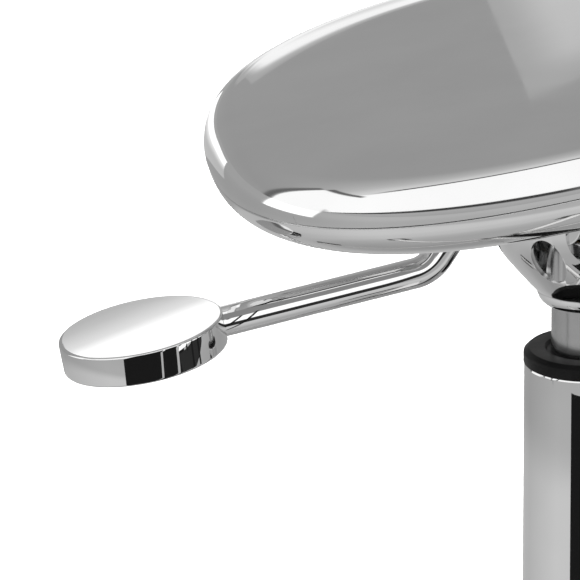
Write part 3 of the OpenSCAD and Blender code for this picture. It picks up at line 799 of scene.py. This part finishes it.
class Studio(Shader):
    """Node helper for a world or an emission card."""

    def __init__(self, tree):
        self.tree = tree
        tree.nodes.clear()

    def maths(self, operation, a, b=None):
        m = self.node("ShaderNodeMath", operation=operation)
        for socket, value in zip(m.inputs, (a, b)):
            if isinstance(value, (int, float)):
                socket.default_value = value
            elif value is not None:
                self.link(value, socket)
        return m.outputs[0]

    def dot(self, vector, direction):
        m = self.node("ShaderNodeVectorMath", operation="DOT_PRODUCT")
        m.inputs[1].default_value = direction
        self.link(vector, m.inputs[0])
        return m.outputs["Value"]

    def ramp(self, source, stops, smooth=False):
        """Grey ramp over (position, value) stops; values above 1 are kept by a gain."""
        gain = max(v for _, v in stops)
        r = self.node("ShaderNodeValToRGB")
        r.color_ramp.interpolation = "EASE" if smooth else "LINEAR"
        elements = r.color_ramp.elements
        while len(elements) < len(stops):
            elements.new(0.5)
        for element, (at, value) in zip(elements, stops):
            element.position = at
            element.color = (value / gain,) * 3 + (1,)
        self.link(source, r.inputs["Fac"])
        return self.maths("MULTIPLY", r.outputs["Color"], gain)

    def band(self, source, low, high, soft):
        """1 between low and high, 0 outside them, with soft ends. The source runs from 0 to 1."""
        stops = [(0.0, 0.0), (low - soft, 0.0), (low + soft, 1.0), (high - soft, 1.0), (high + soft, 0.0)]
        return self.ramp(source, stops + [(1.0, 0.0)])

    def bearing(self, across, toward):
        """Direction round the stool from the camera's side: 0.5 is the camera, and 0 and 1 are behind."""
        angle = self.maths("DIVIDE", self.maths("ARCTAN2", across, toward), 2 * math.pi)
        return self.maths("ADD", angle, 0.5)

    def between(self, bearing, degrees, soft):
        """Band between two bearings given in degrees."""
        return self.band(bearing, *(0.5 + d / 360 for d in degrees), soft)

    def mix(self, share, a, b):
        """a where share is 0 and b where it is 1."""
        return self.maths("ADD", self.maths("MULTIPLY", self.maths("SUBTRACT", 1.0, share), a),
                          self.maths("MULTIPLY", share, b))


def build_world():
    """Soft box over the camera side, grey wall behind: brightness by direction round the stool."""
    world = bpy.data.worlds.new("studio")
    scene.world = world
    world.use_nodes = True
    s = Studio(world.node_tree)
    way = s.node("ShaderNodeTexCoord").outputs["Generated"]
    up = s.dot(way, (0, 0, 1))
    toward = s.dot(way, TOWARD_CAMERA)
    across = s.dot(way, CAMERA_RIGHT)
    turn = s.maths("DIVIDE", s.maths("ARCTAN2", up, toward), math.pi)
    behind = [(0.532, 0.95), (0.57, 0.86), (0.62, 0.70), (0.68, 0.60), (0.74, 0.53), (0.80, 0.47),
              (0.867, 0.445), (0.933, 0.435), (1.0, 0.46)]
    foot = [(0.0, 0.52), (0.056, 0.60), (0.064, LINE), (0.090, LINE), (0.096, WHITE)]
    framed = s.ramp(turn, foot + [(0.506, WHITE), (0.512, LINE), (0.524, LINE)] + behind)
    unframed = s.ramp(turn, foot + [(0.515, WHITE)] + behind)
    faded = s.ramp(turn, [(0.0, 0.52), (0.06, 0.60), (0.14, WHITE), (0.50, WHITE)] + behind)
    place = s.maths("ADD", s.maths("MULTIPLY", across, 0.5), 0.5)
    left = s.ramp(place, [(0.0, 1.0), (0.10, 1.0), (0.18, 0.0), (1.0, 0.0)])
    right = s.ramp(place, [(0.0, 0.0), (0.52, 0.0), (0.70, 1.0), (1.0, 1.0)])
    over = s.mix(right, s.mix(left, framed, unframed), faded)
    end = s.ramp(place, [(0.0, 1.0), (0.001, 1.0), (0.003, 0.0), (1.0, 0.0)])
    glossy = s.mix(end, over, 0.5)
    # the box's left end reaches a little past the side of the stool
    bearing = s.bearing(across, toward)
    past = s.between(bearing, BOX_END, 0.002)
    lift = s.maths("ADD", s.maths("MULTIPLY", up, 0.5), 0.5)
    high = s.band(lift, 0.40, 0.772, 0.004)
    glossy = s.mix(s.maths("MULTIPLY", past, high), glossy, WHITE)
    edge = s.between(bearing, BOX_END_EDGE, 0.003)
    glossy = s.mix(s.maths("MULTIPLY", edge, high), glossy, END_EDGE)
    edge = s.maths("MULTIPLY", past, s.band(lift, 0.776, 0.796, 0.003))
    glossy = s.mix(edge, glossy, END_EDGE)
    path = s.node("ShaderNodeLightPath")
    seen = s.mix(path.outputs["Is Camera Ray"], glossy, 1.0)
    background = s.node("ShaderNodeBackground")
    s.link(seen, background.inputs["Strength"])
    out = s.node("ShaderNodeOutputWorld")
    s.link(background.outputs[0], out.inputs["Surface"])


def only_for(obj, camera=False, glossy=False, diffuse=False, shadow=False):
    obj.visible_camera = camera
    obj.visible_glossy = glossy
    obj.visible_diffuse = diffuse
    obj.visible_shadow = shadow
    obj.visible_transmission = False


def staged(name, bm, material):
    """Flat-shaded mesh that belongs to the studio and not to the stool."""
    mesh = bpy.data.meshes.new(name)
    bm.to_mesh(mesh)
    bm.free()
    mesh.materials.append(material)
    obj = bpy.data.objects.new(name, mesh)
    scene.collection.objects.link(obj)
    return obj


def plane(name, corners, material):
    bm = bmesh.new()
    bm.faces.new([bm.verts.new(c) for c in corners])
    return staged(name, bm, material)


def floor_square(name, half, z, material):
    return plane(name, [(-half, -half, z), (half, -half, z), (half, half, z), (-half, half, z)], material)


# Half the floor's side, and how far out its pattern runs. The strength that cards fade to at their sides
FLOOR_HALF, FLOOR_REACH = 60, 5.0
PLAIN_GLOW = 0.44


def build_floor():
    """White floor for the camera, and the softly patterned light that the metal mirrors from it."""
    s = Shader("floor_white")
    s.bsdf.inputs["Base Color"].default_value = (0.94, 0.94, 0.94, 1)
    s.bsdf.inputs["Roughness"].default_value = 0.9
    s.bsdf.inputs["Specular IOR Level"].default_value = 0.0
    s.bumps((s.noise(3.0, 2.0), 0.0002))
    only_for(floor_square("floor", FLOOR_HALF, 0, s.material), camera=True, diffuse=True, shadow=True)

    material = bpy.data.materials.new("floor_light")
    material.use_nodes = True
    s = Studio(material.node_tree)
    place = s.node("ShaderNodeNewGeometry").outputs["Position"]
    ahead = s.dot(place, TOWARD_CAMERA)
    across = s.dot(place, CAMERA_RIGHT)
    squares = [s.maths("MULTIPLY", part, part) for part in (ahead, across)]
    far = s.maths("SQRT", s.maths("ADD", *squares))
    bearing = s.bearing(across, ahead)
    reach = s.maths("DIVIDE", far, FLOOR_REACH)
    light = s.ramp(reach, [
        (0.0, 0.43), (0.04, 0.43), (0.05, 0.47), (0.08, 0.60), (0.13, 0.66), (0.155, 0.66),
        (0.18, 0.49), (0.26, 0.47), (0.8, 0.52), (1.0, 0.52)], smooth=True)
    rear = s.band(bearing, 0.25, 0.75, 0.10)
    light = s.maths("MULTIPLY", light, s.mix(rear, 0.78, 1.0))
    beyond = s.ramp(reach, [(0.0, 0.0), (0.445, 0.0), (0.455, 1.0), (1.0, 1.0)])
    left_end = s.maths("MULTIPLY", s.between(bearing, BOX_END, 0.002), beyond)
    light = s.mix(left_end, light, WHITE)
    emission = s.node("ShaderNodeEmission")
    s.link(light, emission.inputs["Strength"])
    out = s.node("ShaderNodeOutputMaterial")
    s.link(emission.outputs[0], out.inputs["Surface"])
    only_for(floor_square("floor_mirrored", FLOOR_HALF, 0.2 * MM, material), glossy=True)


def glow_material(name, stops, middle=None, side=None, half=1.0, one_sided=False):
    """Emission through (height, strength) stops, fading sideways to a plain strength if side is given.

    A one-sided card shows only from the side that its face points to.
    """
    material = bpy.data.materials.new(name)
    material.use_nodes = True
    s = Studio(material.node_tree)
    place = s.node("ShaderNodeNewGeometry").outputs["Position"]
    glow = s.ramp(s.dot(place, (0, 0, 1)), stops, smooth=True)
    if side is not None:
        off = s.maths("ABSOLUTE", s.maths("SUBTRACT", s.dot(place, side), middle.dot(side)))
        fade = [(0.0, 1.0), (0.82, 1.0), (0.99, 0.0), (1.0, 0.0)]
        glow = s.mix(s.ramp(s.maths("DIVIDE", off, half), fade, smooth=True), PLAIN_GLOW, glow)
    emission = s.node("ShaderNodeEmission")
    s.link(glow, emission.inputs["Strength"])
    out = s.node("ShaderNodeOutputMaterial")
    shown = emission.outputs[0]
    if one_sided:
        both = s.node("ShaderNodeMixShader")
        s.link(s.node("ShaderNodeNewGeometry").outputs["Backfacing"], both.inputs["Fac"])
        s.link(shown, both.inputs[1])
        s.link(s.node("ShaderNodeBsdfTransparent").outputs[0], both.inputs[2])
        shown = both.outputs[0]
    s.link(shown, out.inputs["Surface"])
    return material


def even_glow(name, strength):
    return glow_material(name, [(0.0, strength), (1.0, strength)], one_sided=True)


def upright_card(name, left, right, low, high, material):
    """Glossy-only card that stands between two plan points, from low to high."""
    foot, top = Vector((0, 0, low)), Vector((0, 0, high))
    only_for(plane(name, [left + foot, right + foot, right + top, left + top], material), glossy=True)


def across_at(across, toward):
    return CAMERA_RIGHT * across + TOWARD_CAMERA * toward


RIBBON_FROM, RIBBON_R = 36 * MM, 50 * MM
RING_CARD_R, RING_CARD_STEPS, RING_CARD_HEIGHTS = 60 * MM, 8, (0.28, 0.42)
# Where the photo's dark stripes start and end across the knob's wall, in mm from its middle
KNOB_STRIPES = ((-7.2, 7.7), (8.5, 14.0), (14.9, 17.1), (17.9, 18.5), (20.0, 20.6), (22.5, 23.1))
# The knob's own card: its bearing from the knob, distance, half width and heights
KNOB_CARD_BEARING = Vector((-0.3565, 0.8828, 0.0)).normalized()
KNOB_CARD_AWAY, KNOB_CARD_HALF, KNOB_CARD_HEIGHTS = 0.149, 0.038, (0.388, 0.434)


def rod_ribbon(name, start, stop, strength):
    """Strip that runs beside the rod on the camera's side, between two heights given as angles."""
    line = [p for p in lever_line() if (p.xy - PIVOT.xy).length > RIBBON_FROM]
    bm = bmesh.new()
    offsets = [RIBBON_R * (TOWARD_CAMERA * math.cos(a) + Vector((0, 0, math.sin(a))))
               for a in (math.radians(start), math.radians(stop))]
    low, high = ([bm.verts.new(p + offset) for p in line] for offset in offsets)
    for k in range(len(line) - 1):
        bm.faces.new((low[k], low[k + 1], high[k + 1], high[k]))
    only_for(staged(name, bm, even_glow(name, strength)), glossy=True)


def lit_card(name, across, toward, low, high, stops):
    """Card behind the stool between two places across, with soft sides."""
    left, right = (across_at(a, toward) for a in across)
    side = (right - left).normalized()
    middle, half = (left + right) / 2, (right - left).length / 2
    upright_card(name, left, right, low, high, glow_material(name, stops, middle, side, half))


def knob_card_turn(across):
    """Turn round the knob at which its wall mirrors a ring card, for a place across its width."""
    return 2 * math.asin(across / KNOB_R) - math.asin(across / RING_CARD_R)


def build_cards():
    """Cards that the metal mirrors: soft lights behind the seat and knob, black strips close by."""
    lit_card("card_rim", (-0.355, 0.05), -1.5, 0.05, 0.665,
             [(0.0, 0.60), (0.45, 0.80), (0.55, 1.05), (0.60, 1.05),
              (0.64, 0.50), (0.66, 0.44), (1.0, 0.44)])
    lit_card("card_patch", (-0.086, 0.25), -0.6, 0.42, 0.616,
             [(0.0, 0.50), (0.50, 0.50), (0.585, 0.61), (0.600, 0.60), (0.611, 0.46),
              (0.615, 0.435), (1.0, 0.435)])
    centre = Vector((KNOB_AT.x, KNOB_AT.y, 0))
    middle = centre + KNOB_CARD_BEARING * KNOB_CARD_AWAY
    wide = KNOB_CARD_BEARING.cross(Vector((0, 0, 1))) * KNOB_CARD_HALF
    upright_card("card_knob", middle - wide, middle + wide, *KNOB_CARD_HEIGHTS, glow_material(
        "card_knob", [(0.0, 0.53), (0.403, 0.55), (0.412, 0.78), (0.419, 1.3), (1.0, 1.3)], one_sided=True))

    black = even_glow("card_black", 0.012)
    upright_card("card_column", across_at(0.07, 0.05), across_at(-0.0191, 0.05), 0.03, 0.325, black)
    for name, start, stop, strength in (
            ("ribbon_black", -24, -4, 0.03), ("ribbon_white", -2, 24, 1.35),
            ("ribbon_grey", 28, 70, 0.27)):
        rod_ribbon(name, start, stop, strength)
    for n, stripe in enumerate(KNOB_STRIPES):
        first, last = (knob_card_turn(a * MM) for a in stripe)
        for k in range(RING_CARD_STEPS):
            ends = [first + (last - first) * m / RING_CARD_STEPS for m in (k, k + 1)]
            left, right = (centre + across_at(math.sin(a), math.cos(a)) * RING_CARD_R for a in ends)
            upright_card("card_stripe_%d_%d" % (n, k), right, left, *RING_CARD_HEIGHTS, black)


def build_lights():
    """Large soft lights that fill the plastics and the floor; the metal mirrors the studio instead."""
    for name, place, size, power in (
            ("light_over", (0.3, -0.6, 3.2), 3.0, 170),
            ("light_left", (-2.6, -1.4, 1.9), 2.0, 70),
            ("light_right", (2.4, 1.6, 2.2), 2.0, 60)):
        data = bpy.data.lights.new(name, "AREA")
        data.energy = power
        data.size = size
        light = bpy.data.objects.new(name, data)
        light.location = place
        aim = Vector((0, 0, 0.3)) - Vector(place)
        light.rotation_mode = "QUATERNION"
        light.rotation_quaternion = aim.to_track_quat("-Z", "Y")
        light.visible_glossy = False
        scene.collection.objects.link(light)


# ---------------------------------------------------------------- build

build_camera()
dress_cad_nodes()
build_seat()
build_lever()
build_bowl()
build_column()
build_base()
build_casters()
build_world()
build_floor()
build_cards()
build_lights()
scene.view_settings.view_transform = "Standard"
scene.cycles.use_denoising = True
